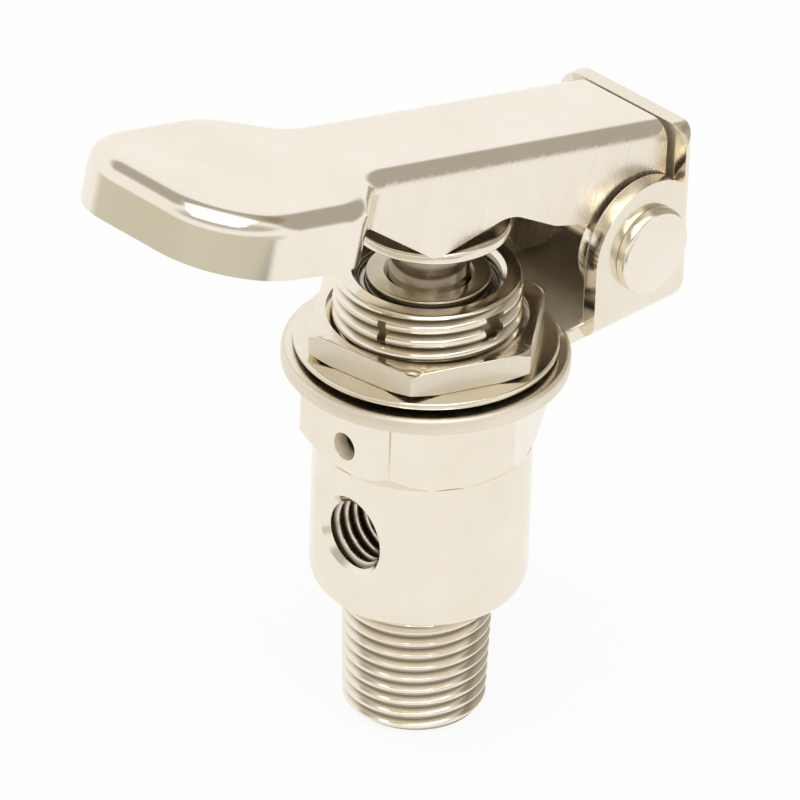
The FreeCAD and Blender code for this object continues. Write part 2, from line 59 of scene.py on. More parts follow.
# Sizes that several pieces share, in millimetres, as the solids have them.
HEX_CORNER = 8.083  # 14 mm across flats
BARREL_RADIUS = 7
SPIGOT_RADIUS = 4.88
SPIGOT_END = -9
PIPE_TAPER = 0.0311
PORT_LEVEL = 5.85
PORT_RADIUS = 2.1
EXHAUST_LEVEL = 12.8
EXHAUST_RADIUS = 0.62
BOSS_RADIUS = 6.0
BOSS_TOP = 23.05
BUSH_FLOOR = 20.6
SHEET_LOW, SHEET_TOP = 16.4, 17.45
RING_RADIUS, RING_HOLE = 9.15, 6.1
NUT_LOW, NUT_TOP = 18.2, 20.0
TRAY_HALF, TRAY_HOLLOW_HALF = 5.6, 4.55
WEB_INSIDE, WEB_OUTSIDE, WEB_TOP = 17.1, 18.15, 28.8
DISC_LOW, DISC_TOP, DISC_HOLE = 26.37, 27.05, 1.62
PIN_X, PIN_LEVEL, PIN_RADIUS, PIN_HOLE = 14, 21.5, 1.5, 1.54
LEVER_LEAN = 13.5  # degrees, at rest
LEVER_HALF, SPOON_HALF = 4.25, 7.7


# ---------------------------------------------------------------- bench work

def clear_bench():
    """Leaves edit mode and lets go of everything."""
    if bpy.context.mode != "OBJECT":
        bpy.ops.object.mode_set(mode="OBJECT")
    bpy.ops.object.select_all(action="DESELECT")


def take(piece):
    """Puts this one piece in hand."""
    clear_bench()
    piece.select_set(True)
    bpy.context.view_layer.objects.active = piece
    return piece


def open_up(piece):
    """Takes a piece into edit mode."""
    take(piece)
    bpy.ops.object.mode_set(mode="EDIT")


def close_up():
    """Comes back out of edit mode."""
    bpy.ops.object.mode_set(mode="OBJECT")


def pick_points(piece, wanted):
    """In edit mode, selects the points that pass the test."""
    bpy.ops.mesh.select_mode(type="VERT")
    bpy.ops.mesh.select_all(action="DESELECT")
    bpy.ops.object.mode_set(mode="OBJECT")
    for point in piece.data.vertices:
        point.select = wanted(point.co)
    bpy.ops.object.mode_set(mode="EDIT")


def pick_edges(piece, wanted):
    """In edit mode, selects the edges whose two ends pass the test."""
    bpy.ops.mesh.select_mode(type="EDGE")
    bpy.ops.mesh.select_all(action="DESELECT")
    bpy.ops.object.mode_set(mode="OBJECT")
    points = piece.data.vertices
    for edge in piece.data.edges:
        one, two = edge.vertices
        edge.select = wanted(points[one].co, points[two].co)
    bpy.ops.object.mode_set(mode="EDIT")


def pick_faces(piece, wanted):
    """In edit mode, selects the faces that pass the test of centre and normal."""
    bpy.ops.mesh.select_mode(type="FACE")
    bpy.ops.mesh.select_all(action="DESELECT")
    bpy.ops.object.mode_set(mode="OBJECT")
    for face in piece.data.polygons:
        face.select = wanted(face.center, face.normal)
    bpy.ops.object.mode_set(mode="EDIT")


def near(place, spot):
    """Whether a point of the mesh is the corner at this spot."""
    return (place - Vector(spot)).length < 1e-3


def trace(name, line):
    """Draws a closed line on the bench: one point, pulled from place to place."""
    clear_bench()
    bpy.ops.mesh.primitive_plane_add(size=1.0, location=(0, 0, 0))
    piece = bpy.context.object
    piece.name = name
    piece.data.name = name
    bpy.ops.object.mode_set(mode="EDIT")
    bpy.ops.mesh.select_mode(type="VERT")
    bpy.ops.mesh.select_all(action="SELECT")
    bpy.ops.mesh.merge(type="CENTER")
    here = Vector(line[0])
    bpy.ops.transform.translate(value=here)
    for stop in [*line[1:], line[0]]:
        step = Vector(stop) - here
        bpy.ops.mesh.extrude_region_move(TRANSFORM_OT_translate={"value": step})
        here = Vector(stop)
    bpy.ops.mesh.select_all(action="SELECT")
    bpy.ops.mesh.remove_doubles(threshold=DOUBLES)
    return piece


def round_points(piece, spots):
    """Rounds the corners at these places by so much, with so many steps."""
    for spot, back, steps in spots:
        pick_points(piece, lambda place: near(place, spot))
        bpy.ops.mesh.bevel(
            offset=back, offset_type="OFFSET", segments=steps, profile=ARC, affect="VERTICES",
        )


def round_edges(piece, wanted, back, steps):
    """Rounds the edges whose two ends pass the test."""
    open_up(piece)
    pick_edges(piece, wanted)
    bpy.ops.mesh.bevel(offset=back, segments=steps, profile=ARC, affect="EDGES")
    close_up()


def put_right():
    """Merges doubles and turns every face outwards."""
    bpy.ops.mesh.select_all(action="SELECT")
    bpy.ops.mesh.remove_doubles(threshold=DOUBLES)
    bpy.ops.mesh.normals_make_consistent(inside=False)


def turn(name, section, rounds=(), steps=120):
    """Turns a closed section of (radius, level) places about the upright axis."""
    piece = trace(name, [(r, 0, z) for r, z in section])
    round_points(piece, [((r, 0, z), back, count) for r, z, back, count in rounds])
    bpy.ops.mesh.select_all(action="SELECT")
    bpy.ops.mesh.spin(steps=steps, angle=math.tau, center=(0, 0, 0), axis=(0, 0, 1))
    put_right()
    close_up()
    return piece


def press_out(name, outline, pull, rounds=()):
    """Fills a flat outline and pulls it to its thickness."""
    piece = trace(name, outline)
    round_points(piece, rounds)
    bpy.ops.mesh.select_all(action="SELECT")
    bpy.ops.mesh.edge_face_add()
    bpy.ops.mesh.extrude_region_move(TRANSFORM_OT_translate={"value": pull})
    put_right()
    close_up()
    return piece


def slab(name, low, high):
    """A block between two corners, as stock or as a cutter."""
    low, high = Vector(low), Vector(high)
    clear_bench()
    bpy.ops.mesh.primitive_cube_add(size=1.0, location=(low + high) / 2, scale=high - low)
    piece = bpy.context.object
    piece.name = name
    bpy.ops.object.transform_apply(location=True, rotation=True, scale=True)
    return piece


def bar(name, radius, start, length, axis="Z", sides=96, angle=0.0):
    """Round or hexagon bar from a start place along one axis; angle turns an upright one."""
    clear_bench()
    quarter = math.pi / 2
    along, lean = {
        "X": (Vector((1, 0, 0)), (0, quarter, 0)),
        "Y": (Vector((0, 1, 0)), (-quarter, 0, 0)),
        "Z": (Vector((0, 0, 1)), (0, 0, math.radians(angle))),
    }[axis]
    bpy.ops.mesh.primitive_cylinder_add(
        vertices=sides, radius=radius, depth=abs(length),
        location=Vector(start) + along * (length / 2), rotation=lean,
    )
    piece = bpy.context.object
    piece.name = name
    bpy.ops.object.transform_apply(location=True, rotation=True, scale=True)
    return piece


def stand(piece, place, lean):
    """Sets a piece in its place, leaning by so many degrees, and makes that its mesh."""
    take(piece)
    piece.rotation_euler = [math.radians(value) for value in lean]
    piece.location = place
    bpy.ops.object.transform_apply(location=True, rotation=True, scale=True)
    return piece


def run(piece, name, kind, **settings):
    """Gives a piece a modifier with these settings and applies it."""
    take(piece)
    step = piece.modifiers.new(name, kind)
    for setting, value in settings.items():
        setattr(step, setting, value)
    bpy.ops.object.modifier_apply(modifier=step.name)
    return piece


def work(piece, tool, how="DIFFERENCE"):
    """Cuts with a tool, keeps what a tool encloses, or joins another solid."""
    run(piece, "work", "BOOLEAN", operation=how, solver="EXACT", object=tool)
    bpy.data.objects.remove(tool, do_unlink=True)
    return piece


def ease(piece, width, angle=30, steps=2):
    """Breaks every edge that is sharper than the angle."""
    return run(
        piece, "ease", "BEVEL", width=width, segments=steps, limit_method="ANGLE",
        angle_limit=math.radians(angle), use_clamp_overlap=True, loop_slide=True,
    )


def wind(piece, angle, lift, times, steps):
    """Winds a closed section up about the upright axis, so many times by this angle and lift.

    Both ends are then closed.
    """
    close_up()
    run(
        piece, "wind", "SCREW", axis="Z", angle=angle, screw_offset=lift, iterations=times,
        steps=steps, render_steps=steps, use_normal_calculate=True,
    )
    levels = [point.co.z for point in piece.data.vertices]
    middle = (min(levels) + max(levels)) / 2
    for first in (True, False):
        open_up(piece)
        bpy.ops.mesh.select_mode(type="VERT")
        bpy.ops.mesh.select_all(action="DESELECT")
        bpy.ops.mesh.select_non_manifold()
        bpy.ops.object.mode_set(mode="OBJECT")
        for point in piece.data.vertices:
            point.select = point.select and (point.co.z < middle) == first
        bpy.ops.object.mode_set(mode="EDIT")
        bpy.ops.mesh.edge_face_add()
    put_right()
    close_up()
    return piece


def thread_tool(name, crest, root, pitch, low, turns, soft=0.14, steps=72):
    """A closed winding that cuts a sixty degree thread groove with rounded crests.

    soft is the radius of the crests, as a share of the pitch.
    """
    flank = math.radians(60)
    overcut = 0.3
    narrowest = pitch * 0.02
    deep = abs(crest - root)
    side = 1 if crest > root else -1
    bend = soft * pitch
    shape = []
    for lean in (8, 20, 35, 48, 60):
        turned = math.radians(lean)
        back = bend * (1 - math.cos(turned))
        shape.append((crest - side * back, pitch / 2 - bend * math.sin(turned)))
    rise = (deep - bend * 0.5) / math.tan(flank)
    floor = max(pitch / 2 - bend * math.sin(flank) - rise, narrowest)
    upper = [(crest + side * overcut, shape[0][1])] + shape + [(root, floor)]
    lower = [(r, -z) for r, z in reversed(upper)]
    piece = trace(name, [(r, 0, z + low) for r, z in upper + lower])
    return wind(piece, math.tau, pitch, turns, steps)


def hand_over(piece, node, body, paint, smooth=32):
    """Brings a finished piece to metres and gives it its finish and its place in the frame.

    Doubled points and loose edges that the cuts left are taken out first.
    """
    open_up(piece)
    bpy.ops.mesh.select_all(action="SELECT")
    bpy.ops.mesh.remove_doubles(threshold=DOUBLES)
    bpy.ops.mesh.delete_loose()
    take(piece)
    piece.name = node + "_piece"
    piece.data.name = piece.name
    piece.scale = (MM, MM, MM)
    bpy.ops.object.transform_apply(location=True, rotation=True, scale=True)
    bpy.ops.object.shade_smooth_by_angle(angle=math.radians(smooth))
    run(piece, "level_flats", "WEIGHTED_NORMAL", keep_sharp=True)
    piece.data.materials.clear()
    piece.data.materials.append(paint)
    for face in piece.data.polygons:
        face.material_index = 0
    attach(piece, body)
    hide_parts(node)
    return piece


# ------------------------------------------------------------------ finishes

def sheet_of(name):
    """A new material with its shader, and the place its patterns are read from."""
    paint = bpy.data.materials.new(name)
    paint.use_nodes = True
    tree = paint.node_tree
    shader = tree.nodes["Principled BSDF"]
    place = tree.nodes.new("ShaderNodeTexCoord").outputs["Object"]
    return paint, tree, shader, place


def stretch(tree, place, scale, lean=0.0):
    """Pattern coordinates, turned with the lever's lean and then stretched."""
    if lean:
        swing = tree.nodes.new("ShaderNodeMapping")
        swing.inputs["Rotation"].default_value = (0, math.radians(lean), 0)
        tree.links.new(place, swing.inputs["Vector"])
        place = swing.outputs["Vector"]
    spread = tree.nodes.new("ShaderNodeMapping")
    spread.inputs["Scale"].default_value = scale
    tree.links.new(place, spread.inputs["Vector"])
    return spread.outputs["Vector"]


def grain(tree, place, scale, detail=3.0, rough=0.55):
    """A noise pattern of so many waves to the metre."""
    pattern = tree.nodes.new("ShaderNodeTexNoise")
    pattern.inputs["Scale"].default_value = scale
    pattern.inputs["Detail"].default_value = detail
    pattern.inputs["Roughness"].default_value = rough
    tree.links.new(place, pattern.inputs["Vector"])
    return pattern.outputs["Fac"]


def remap(tree, value, low, high, out_low, out_high):
    """A value from low to high, brought to the range from out_low to out_high."""
    spread = tree.nodes.new("ShaderNodeMapRange")
    spread.inputs["From Min"].default_value = low
    spread.inputs["From Max"].default_value = high
    spread.inputs["To Min"].default_value = out_low
    spread.inputs["To Max"].default_value = out_high
    tree.links.new(value, spread.inputs["Value"])
    return spread.outputs["Result"]


def full_range(tree, pattern, out_low, out_high):
    """A noise pattern, which keeps mostly between 0.3 and 0.7, brought to a range."""
    return remap(tree, pattern, 0.3, 0.7, out_low, out_high)


def chain(tree, how, values):
    """Joins values with one kind of sum, in turn; any of them may be a plain number."""
    total = values[0]
    for value in values[1:]:
        box = tree.nodes.new("ShaderNodeMath")
        box.operation = how
        for slot, part in zip(box.inputs, (total, value)):
            if isinstance(part, (int, float)):
                slot.default_value = part
            else:
                tree.links.new(part, slot)
        total = box.outputs[0]
    return total


def plus(tree, *values):
    """The sum of the values."""
    return chain(tree, "ADD", values)


def minus(tree, one, two):
    """The first value less the second."""
    return chain(tree, "SUBTRACT", (one, two))


def times(tree, *values):
    """The product of the values."""
    return chain(tree, "MULTIPLY", values)


def most(tree, *values):
    """The largest of the values."""
    return chain(tree, "MAXIMUM", values)


def size_of(tree, value):
    """A value without its sign."""
    return chain(tree, "ABSOLUTE", (value, 0.0))


def tint(tree, value, dark, light):
    """A colour between two, by a value from 0 to 1."""
    ramp = tree.nodes.new("ShaderNodeValToRGB")
    ramp.color_ramp.elements[0].color = (*dark, 1)
    ramp.color_ramp.elements[1].color = (*light, 1)
    tree.links.new(value, ramp.inputs["Fac"])
    return ramp.outputs["Color"]


def mix_colours(tree, amount, one, two):
    """One colour where the amount is 0 and the other where it is 1; either may be linked."""
    mix = tree.nodes.new("ShaderNodeMix")
    mix.data_type = "RGBA"
    tree.links.new(amount, mix.inputs[0])
    sockets = [socket for socket in mix.inputs if socket.type == "RGBA"]
    for socket, colour in zip(sockets, (one, two)):
        if isinstance(colour, tuple):
            socket.default_value = (*colour, 1)
        else:
            tree.links.new(colour, socket)
    return [socket for socket in mix.outputs if socket.type == "RGBA"][0]


def relief(tree, shader, height, depth=1.0):
    """Bump of a height in metres, or of a pattern that is depth metres deep."""
    bump = tree.nodes.new("ShaderNodeBump")
    bump.inputs["Strength"].default_value = 1.0
    bump.inputs["Distance"].default_value = depth
    tree.links.new(height, bump.inputs["Height"])
    tree.links.new(bump.outputs["Normal"], shader.inputs["Normal"])


def nickel(
    name, dark, light, gloss, lines, line_depth, waves=1.5 * MICRON, painted_shade=None, dulled=None,
):
    """Bright nickel plate over the marks of the tool.

    lines says how close the marks run along each axis. The painted shade mask gives the places
    darkened as painted shade, and dulled those that the plating left dull and grainy.
    """
    paint, tree, shader, place = sheet_of(name)
    shader.inputs["Metallic"].default_value = 1.0
    marks = grain(tree, stretch(tree, place, lines), 1.0, 2.0)
    cloud = grain(tree, place, 260.0)
    pores = grain(tree, place, 5200.0, 2.0)
    colour = tint(tree, full_range(tree, cloud, 0, 1), dark, light)
    worn = plus(
        tree, full_range(tree, cloud, 0, gloss * 0.35), full_range(tree, marks, 0, gloss * 0.4),
        gloss * 0.62,
    )
    # Painted shade: where the mask says shade falls, the colour goes dark brown and a little
    # rougher.
    if painted_shade:
        amount = painted_shade(tree, place)
        colour = mix_colours(tree, amount, colour, (0.16, 0.13, 0.08))
        worn = plus(tree, worn, times(tree, amount, 0.12))
    rough_skin = 0.0
    if dulled:
        dull = dulled(tree, place)
        worn = plus(tree, worn, times(tree, dull, 0.32))
        rough_skin = times(tree, dull, grain(tree, place, 3600.0), 20 * MICRON)
    tree.links.new(colour, shader.inputs["Base Color"])
    tree.links.new(worn, shader.inputs["Roughness"])
    fine = times(tree, marks, line_depth)
    skin = times(tree, pores, line_depth * 0.5)
    swell = plus(tree, times(tree, cloud, waves), rough_skin)
    relief(tree, shader, plus(tree, fine, skin, swell))
    return paint


def apart(tree, place, centre=(0, 0, 0), axis="Z"):
    """Distance in metres from a line along an axis; its centre is given in millimetres."""
    from_centre = tree.nodes.new("ShaderNodeVectorMath")
    from_centre.operation = "SUBTRACT"
    from_centre.inputs[1].default_value = Vector(centre) * MM
    tree.links.new(place, from_centre.inputs[0])
    flat = tree.nodes.new("ShaderNodeVectorMath")
    flat.operation = "MULTIPLY"
    flat.inputs[1].default_value = [0 if letter == axis else 1 for letter in "XYZ"]
    tree.links.new(from_centre.outputs["Vector"], flat.inputs[0])
    long = tree.nodes.new("ShaderNodeVectorMath")
    long.operation = "LENGTH"
    tree.links.new(flat.outputs["Vector"], long.inputs[0])
    return long.outputs["Value"]


def part_of(tree, place, letter):
    """The X, Y or Z of a place or a direction."""
    split = tree.nodes.new("ShaderNodeSeparateXYZ")
    tree.links.new(place, split.inputs["Vector"])
    return split.outputs[letter]


def facing_of(tree, letter):
    """How squarely the surface faces along an axis, either way: 0 to 1."""
    facing = tree.nodes.new("ShaderNodeNewGeometry").outputs["Normal"]
    return size_of(tree, part_of(tree, facing, letter))


def between(tree, value, low, high, soft=0.05):
    """1 between two levels in millimetres and 0 outside them."""
    above = remap(tree, value, (low - soft) * MM, low * MM, 0.0, 1.0)
    below = remap(tree, value, high * MM, (high + soft) * MM, 1.0, 0.0)
    return times(tree, above, below)


def body_painted_shade(tree, place):
    """Painted shade in the roots of the threads, inside the port and deep in the exhaust hole."""
    height, across = part_of(tree, place, "Z"), part_of(tree, place, "X")
    radius = apart(tree, place)
    pipe_crest = plus(tree, times(tree, height, PIPE_TAPER), SPIGOT_RADIUS * MM)
    pipe_depth = minus(tree, pipe_crest, radius)
    pipe = remap(tree, pipe_depth, 0.14 * MM, 0.42 * MM, 0.0, 0.60)
    pipe = times(tree, pipe, between(tree, height, -9.2, -0.05))
    boss_depth = minus(tree, BOSS_RADIUS * MM, radius)
    boss = remap(tree, boss_depth, 0.16 * MM, 0.44 * MM, 0.0, 0.72)
    boss = times(tree, boss, between(tree, height, 16.45, 22.75))
    bored = apart(tree, place, (0, 0, PORT_LEVEL), "X")
    port = remap(tree, bored, 2.14 * MM, 2.34 * MM, 0.10, 0.88)
    port = times(
        tree, port, between(tree, bored, 0.0, 2.62), between(tree, across, -5.60, -1.0, 0.15),
    )
    vent = between(tree, apart(tree, place, (0, 0, EXHAUST_LEVEL), "X"), 0.0, 0.70, 0.02)
    vent = times(tree, vent, between(tree, across, -6.12, -3.0, 0.03))
    return most(tree, pipe, boss, port, vent)


def exhaust_walls(tree, place):
    """The drilled wall of the exhaust hole is left dull."""
    hole = between(tree, apart(tree, place, (0, 0, EXHAUST_LEVEL), "X"), 0.0, 0.93, 0.03)
    return times(tree, hole, between(tree, part_of(tree, place, "X"), -6.99, -3.0, 0.02))


def nut_sides(tree, place):
    """The drawn faces of the hexagon bar, all round the nut."""
    return remap(tree, facing_of(tree, "Z"), 0.25, 0.55, 1.0, 0.0)


def sheared_edges(tree, place):
    """The torn edge of the bracket's ring and the dull inside of its tray."""
    ring = between(tree, apart(tree, place), 8.95, 9.3, 0.10)
    tray = times(
        tree,
        between(tree, part_of(tree, place, "X"), 8.0, 17.14, 0.02),
        between(tree, part_of(tree, place, "Y"), -4.6, 4.6, 0.02),
        between(tree, part_of(tree, place, "Z"), 17.4, 30.0, 0.02),
    )
    return most(tree, ring, tray)


def ring_painted_shade(tree, place):
    """Painted shade on the bracket's ring, round and under the washer."""
    ring = between(tree, apart(tree, place), 6.0, 8.35, 0.15)
    return times(tree, ring, between(tree, part_of(tree, place, "Z"), 17.3, 17.6), 0.7)


def brushed_lever(name):
    """The lever: its top is buffed smooth, and its walls are brushed across up to the bend."""
    paint, tree, shader, place = sheet_of(name)
    shader.inputs["Metallic"].default_value = 1.0
    strokes = grain(tree, stretch(tree, place, (9000, 60, 260), -LEVER_LEAN), 1.0, 3.0, 0.6)
    broad = grain(tree, stretch(tree, place, (2600, 60, 120), -LEVER_LEAN), 1.0, 2.0)
    cloud = grain(tree, place, 180.0)
    pores = grain(tree, place, 4200.0, 2.0)
    ragged = plus(tree, facing_of(tree, "Y"), full_range(tree, broad, -0.10, 0.10))
    wall = remap(tree, ragged, 0.86, 0.96, 0.0, 1.0)
    channel = remap(tree, part_of(tree, place, "X"), -11.6 * MM, -10.6 * MM, 0.0, 1.0)
    wall = times(tree, wall, channel)
    hue = tint(tree, full_range(tree, cloud, 0, 1), (0.86, 0.79, 0.67), (0.90, 0.83, 0.72))
    tree.links.new(hue, shader.inputs["Base Color"])
    lines = times(tree, wall, full_range(tree, strokes, 0.04, 0.26))
    tree.links.new(plus(tree, lines, 0.14), shader.inputs["Roughness"])
    cut = times(tree, strokes, wall, 7.5 * MICRON)
    skin = times(tree, pores, 0.4 * MICRON)
    swell = times(tree, cloud, 2.0 * MICRON)
    relief(tree, shader, plus(tree, cut, skin, swell))
    return paint


def rubber(name):
    """Black moulded rubber with a fine skin."""
    paint, tree, shader, place = sheet_of(name)
    shader.inputs["Specular IOR Level"].default_value = 0.35
    cloud = grain(tree, place, 900.0)
    colour = tint(tree, cloud, (0.008, 0.008, 0.008), (0.028, 0.027, 0.026))
    tree.links.new(colour, shader.inputs["Base Color"])
    tree.links.new(full_range(tree, cloud, 0.45, 0.65), shader.inputs["Roughness"])
    relief(tree, shader, grain(tree, place, 6000.0, 2.0), 4 * MICRON)
    return paint


# How close the marks of the lathe run, along each axis.
TURNED = (240, 240, 15000)

plated_body = nickel(
    "plated_body", (0.85, 0.78, 0.65), (0.89, 0.82, 0.70), 0.15, TURNED, 1.2 * MICRON,
    painted_shade=body_painted_shade, dulled=exhaust_walls,
)
plated_nut = nickel(
    "plated_nut", (0.84, 0.77, 0.65), (0.90, 0.83, 0.71), 0.16, (700, 700, 9000), 1.6 * MICRON,
    dulled=nut_sides,
)
plated_sheet = nickel(
    "plated_sheet", (0.83, 0.76, 0.63), (0.88, 0.81, 0.69), 0.18, (900, 900, 900), 1.6 * MICRON,
    4 * MICRON, painted_shade=ring_painted_shade, dulled=sheared_edges,
)
plated_pin = nickel(
    "plated_pin", (0.86, 0.79, 0.68), (0.91, 0.84, 0.75), 0.16, (1500, 15000, 1500), 1.2 * MICRON,
)
# Painted shade: the stem's base colour is darkened to stand in for the shade and dark reflections
# under the lever.
shaded_ground_stem = nickel(
    "shaded_ground_stem", (0.46, 0.42, 0.37), (0.60, 0.55, 0.49), 0.14, TURNED, 1.4 * MICRON,
)
# Painted shade: the bush's base colour is darkened to a dull olive for the shade it sits in under
# the lever.
shaded_turned_bush = nickel(
    "shaded_turned_bush", (0.48, 0.43, 0.32), (0.62, 0.56, 0.43), 0.20, TURNED, 1.6 * MICRON,
)
inner_brass = nickel(
    "inner_brass", (0.72, 0.52, 0.24), (0.80, 0.62, 0.33), 0.24, TURNED, 1.6 * MICRON,
)
spring_wire = nickel(
    "spring_wire", (0.42, 0.40, 0.37), (0.56, 0.54, 0.50), 0.24, (3000, 3000, 3000), 1.2 * MICRON,
)
lever_plate = brushed_lever("lever_plate")
seal_rubber = rubber("seal_rubber")


# ---------------------------------------------------------------- valve body

def make_spigot():
    """The pipe thread end, turned straight, threaded and then drawn to its taper."""
    spigot = turn("spigot", [
        (0, SPIGOT_END), (4.3, SPIGOT_END), (SPIGOT_RADIUS, -8.5), (SPIGOT_RADIUS, 0.4), (0, 0.4),
    ])
    work(spigot, thread_tool("pipe_groove", SPIGOT_RADIUS, 4.40, 0.907, -10.34, 11, 0.16))
    return run(
        spigot, "narrow", "SIMPLE_DEFORM", deform_method="TAPER", deform_axis="Z", factor=0.0600,
    )


def make_hexagon():
    """The spanner hexagon, milled off at its lower corners."""
    hexagon = bar("hexagon", HEX_CORNER, (0, 0, 10.95), 5.45, "Z", 6)
    ease(hexagon, 0.12, 50, 3)
    mill = turn("hex_mill", [(0, 10.94), (6.99, 10.94), (8.3, 12.45), (8.3, 16.5), (0, 16.5)])
    return work(hexagon, mill, "INTERSECT")


def make_boss():
    """The boss and its thread for the clamp nut."""
    boss = turn("boss", [(0, 16.3), (BOSS_RADIUS, 16.3), (BOSS_RADIUS, BOSS_TOP), (0, BOSS_TOP)], [
        (BOSS_RADIUS, BOSS_TOP, 0.35, 4),
    ])
    return work(boss, thread_tool("boss_groove", BOSS_RADIUS, 5.42, 1.0, 14.90, 8, 0.30))


def make_valve_body():
    """Barrel, hexagon, boss and spigot in one, with the bore, the port and the exhaust hole."""
    spigot = make_spigot()
    body = turn("barrel", [(0, 0), (BARREL_RADIUS, 0), (BARREL_RADIUS, 10.96), (0, 10.96)], [
        (BARREL_RADIUS, 0, 1.7, 10),
    ], 144)
    for part in (make_hexagon(), make_boss(), spigot):
        work(body, part, "UNION")

    work(body, turn("bore", [
        (0, -9.5), (3.4, -9.5), (3.4, -7.95), (3.72, -7.95), (3.72, -7.35), (3.4, -7.35),
        (3.4, 2.6), (2.6, 2.6), (2.6, 14.2), (3.75, 14.2), (3.75, BUSH_FLOOR), (4.4, BUSH_FLOOR),
        (4.4, 22.55), (4.9, BOSS_TOP), (4.9, 23.6), (0, 23.6),
    ], [(4.4, 22.55, 0.12, 3)], 120))
    work(body, slab("flat_low", (-8.5, -6, -0.5), (-6.2, 6, PORT_LEVEL)))
    work(body, bar("flat_top", 4.3, (-8.5, 0, PORT_LEVEL), 2.3, "X"))

    port = turn("port", [
        (0, 0), (3.0, 0), (3.0, 0.5), (2.68, 0.5), (PORT_RADIUS, 1.0), (PORT_RADIUS, 6.2), (0, 6.2),
    ], (), 72)
    work(body, stand(port, (-6.7, 0, PORT_LEVEL), (0, 90, 0)))
    groove = thread_tool("port_groove", PORT_RADIUS, 2.5, 0.8, 0.0, 6, 0.12, 48)
    work(body, stand(groove, (-6.5, 0, PORT_LEVEL), (0, 90, 0)))
    exhaust = turn("exhaust", [
        (0, 0), (1.2, 0), (0.95, 0.5), (EXHAUST_RADIUS, 1.4), (EXHAUST_RADIUS, 7.0), (0, 7.0),
    ], (), 48)
    work(body, stand(exhaust, (-7.5, 0, EXHAUST_LEVEL), (0, 90, 0)))

    work(body, slab("slot_near", (-0.75, -6.5, BUSH_FLOOR), (0.75, -5.1, 22.35)))
    work(body, slab("slot_far", (-0.75, 5.1, BUSH_FLOOR), (0.75, 6.5, 22.35)))
    nick = slab("nick", (5.2, -0.3, 20.5), (6.6, 0.3, 22.2))
    work(body, stand(nick, (0, 0, 0), (0, 0, -163.6)))
    return hand_over(body, "valve_body", "housing", plated_body)


# ------------------------------------------------------- nut, washer, bracket

def make_clamp_nut():
    """The thin nut, turned round at the corners and stopped where it came to rest."""
    nut = bar("nut", HEX_CORNER, (0, 0, NUT_LOW), 1.8, "Z", 6, 8.5)
    ease(nut, 0.10, 50, 3)
    work(nut, turn("nut_turning", [
        (0, NUT_LOW), (7.16, NUT_LOW), (8.2, 18.58), (8.2, 19.70), (7.62, NUT_TOP), (0, NUT_TOP),
    ]), "INTERSECT")
    work(nut, turn("nut_hole", [
        (0, 18.0), (6.5, 18.0), (6.03, 18.45), (6.03, 19.6), (6.42, NUT_TOP), (6.42, 20.3),
        (0, 20.3),
    ]))
    ease(nut, 0.05, 35, 2)
    return hand_over(nut, "clamp_nut", "housing", plated_nut)


def make_lock_washer():
    """The dished washer under the nut."""
    washer = turn("washer", [
        (RING_HOLE, SHEET_TOP), (6.8, SHEET_TOP), (8.4, 17.78), (8.4, NUT_LOW),
        (RING_HOLE, NUT_LOW),
    ], [(8.4, NUT_LOW, 0.15, 4), (8.4, 17.78, 0.10, 3)])
    return hand_over(washer, "lock_washer", "housing", plated_sheet)


def make_bracket():
    """Pressed sheet: the ring on the hexagon, a short neck, and the tray with ears and web."""
    ring = turn("ring", [
        (RING_HOLE, SHEET_LOW), (RING_RADIUS, SHEET_LOW), (RING_RADIUS, SHEET_TOP),
        (RING_HOLE, SHEET_TOP),
    ], [(RING_RADIUS, SHEET_TOP, 0.30, 5), (RING_RADIUS, SHEET_LOW, 0.12, 3)], 144)
    neck = slab("neck", (6.3, -4.8, SHEET_LOW), (12.0, 4.8, SHEET_TOP))
    round_edges(neck, lambda one, two: (
        abs(one.x - two.x) > 1 and one.z > 17 and two.z > 17
    ), 0.2, 3)

    tray = slab("tray", (9.35, -TRAY_HALF, SHEET_LOW), (WEB_OUTSIDE, TRAY_HALF, WEB_TOP))
    round_edges(tray, lambda one, two: (
        one.z < 17 and two.z < 17 and not (one.x < 10 and two.x < 10)
        or one.x > 18 and two.x > 18 and abs(one.z - two.z) > 5
    ), 1.25, 8)
    work(tray, press_out("crown", [
        (8, -5.7, 15), (8, 5.7, 15), (8, 5.7, WEB_TOP), (8, -5.7, WEB_TOP),
    ], (12, 0, 0), [((8, 5.7, WEB_TOP), 1.7, 8), ((8, -5.7, WEB_TOP), 1.7, 8)]), "INTERSECT")

    hollow = slab(
        "hollow", (7.0, -TRAY_HOLLOW_HALF, SHEET_TOP), (WEB_INSIDE, TRAY_HOLLOW_HALF, 30.0),
    )
    round_edges(hollow, lambda one, two: (
        one.z < 18 and two.z < 18 and not (one.x < 10 and two.x < 10)
    ), 0.45, 5)
    work(tray, hollow)
    above = slab("above", (7.5, -7, PIN_LEVEL), (WEB_INSIDE, 7, 31.0))
    work(above, bar("lobe", 4.65, (PIN_X, -8, PIN_LEVEL), 16, "Y", 96))
    work(tray, above)
    work(tray, bar("pin_hole", PIN_HOLE, (PIN_X, -8, PIN_LEVEL), 16, "Y", 48))

    work(tray, ring, "UNION")
    work(tray, neck, "UNION")
    work(tray, bar("ring_hole", RING_HOLE, (0, 0, 15), 4, "Z", 120))
    ease(tray, 0.12, 42, 3)
    return hand_over(tray, "bracket", "housing", plated_sheet)


# ------------------------------------------------------------ plunger pieces

